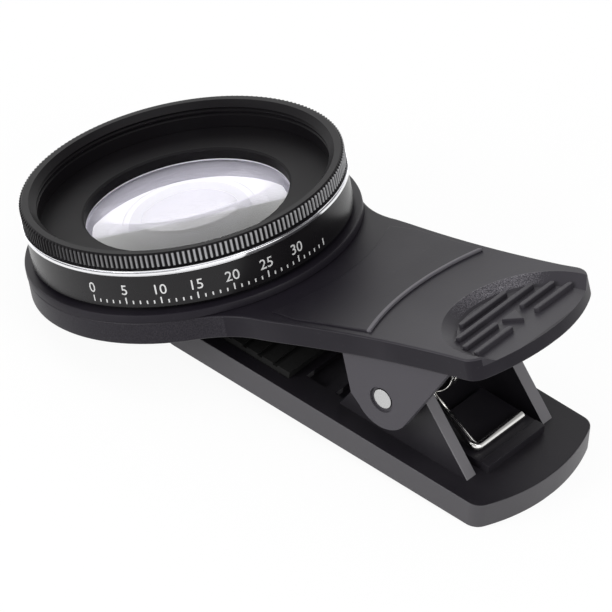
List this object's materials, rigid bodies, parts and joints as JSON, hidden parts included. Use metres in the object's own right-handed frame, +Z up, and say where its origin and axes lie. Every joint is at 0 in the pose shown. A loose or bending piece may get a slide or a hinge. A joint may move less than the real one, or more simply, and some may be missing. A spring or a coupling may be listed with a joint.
{
  "type": "clip-on phone lens",
  "caption": "Close-up lens on a sprung two-armed clip that grips the edge of a phone, with a knurled front ring and a filter thread.",
  "frame": {"origin": "middle of the whole clip's length and width, at the height of the table it rests on", "axes": "+X from the lens to the thumb end, +Y to the far side, +Z up; the plane y = 0 halves the clip"},
  "size_m": [0.0777, 0.0418, 0.0257],
  "materials": {
    "arm_plastic": "satin",
    "pad_rubber": "matte",
    "pin_steel": "satin",
    "spring_steel": "gloss",
    "black_alloy": "satin",
    "bright_alloy": "gloss",
    "optical_glass": "gloss"
  },
  "bodies": {
    "lower_clip": {"lower_arm": "arm_plastic", "lower_jaw_pad": "pad_rubber", "hinge_pin": "pin_steel", "torsion_spring": "spring_steel"},
    "upper_clip": {"upper_arm": "arm_plastic", "upper_jaw_pad": "pad_rubber", "lens_barrel": "black_alloy", "trim_ring": "bright_alloy", "front_ring": "black_alloy", "retaining_ring": "black_alloy", "front_lens": "optical_glass", "spacer_ring": "black_alloy", "rear_lens": "optical_glass", "rear_retainer": "black_alloy"}
  },
  "joints": [
    {"name": "clip_hinge", "type": "hinge", "parent": "lower_clip", "child": "upper_clip", "pos_m": [0.02091, 0, 0.01161], "axis": [0, 1, 0], "range_deg": [0, 30], "stiffness_Nm_per_rad": 0.2, "springref_deg": -68.75, "deforming": ["torsion_spring"]}
  ]
}
